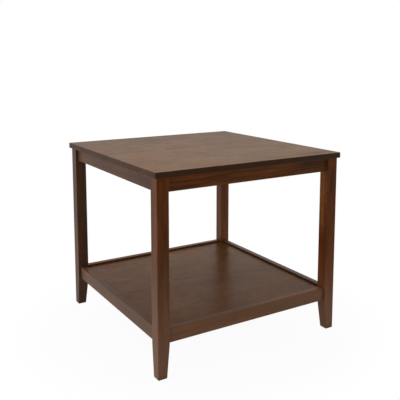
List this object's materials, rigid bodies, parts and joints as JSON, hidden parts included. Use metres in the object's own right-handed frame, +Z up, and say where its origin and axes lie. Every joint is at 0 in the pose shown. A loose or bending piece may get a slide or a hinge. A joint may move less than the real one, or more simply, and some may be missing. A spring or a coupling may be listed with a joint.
{
  "type": "end table with shelf",
  "caption": "Square wooden end table with a flat top on square legs, and a lower shelf set inside a raised frame of rails.",
  "frame": {"origin": "middle of the table at floor level, under the four feet", "axes": "+Z up, out of the table's top; +X to the right and -Y to the front, both along sides of the square top"},
  "size_m": [0.61, 0.61, 0.54],
  "materials": {
    "top_wood": "walnut-brown stain under satin lacquer",
    "shelf_wood": "walnut-brown stain under satin lacquer",
    "leg_wood": "walnut-brown stain under satin lacquer",
    "rail_wood": "walnut-brown stain under satin lacquer",
    "inner_wood": "planed pine with a thin coat of the same stain",
    "dowel_wood": "raw beech",
    "zinc_steel": "zinc plated",
    "nylon": "dark brown moulded nylon"
  },
  "bodies": {
    "root": {"table_top": "top_wood", "shelf_panel": "shelf_wood", "leg_front_left": "leg_wood", "corner_block_front_left": "inner_wood", "foot_glide_front_left": "nylon", "leg_front_right": "leg_wood", "corner_block_front_right": "inner_wood", "foot_glide_front_right": "nylon", "leg_back_right": "leg_wood", "corner_block_back_right": "inner_wood", "foot_glide_back_right": "nylon", "leg_back_left": "leg_wood", "corner_block_back_left": "inner_wood", "foot_glide_back_left": "nylon", "apron_front": "rail_wood", "shelf_rail_front": "rail_wood", "shelf_cleat_front": "inner_wood", "apron_right": "rail_wood", "shelf_rail_right": "rail_wood", "shelf_cleat_right": "inner_wood", "apron_back": "rail_wood", "shelf_rail_back": "rail_wood", "shelf_cleat_back": "inner_wood", "apron_left": "rail_wood", "shelf_rail_left": "rail_wood", "shelf_cleat_left": "inner_wood", "hanger_bolts": "zinc_steel", "hanger_washers": "zinc_steel", "hanger_nuts": "zinc_steel", "block_screws": "zinc_steel", "top_screws": "zinc_steel", "cleat_screws": "zinc_steel", "shelf_screws": "zinc_steel", "apron_dowels": "dowel_wood", "shelf_rail_dowels": "dowel_wood"}
  },
  "joints": []
}
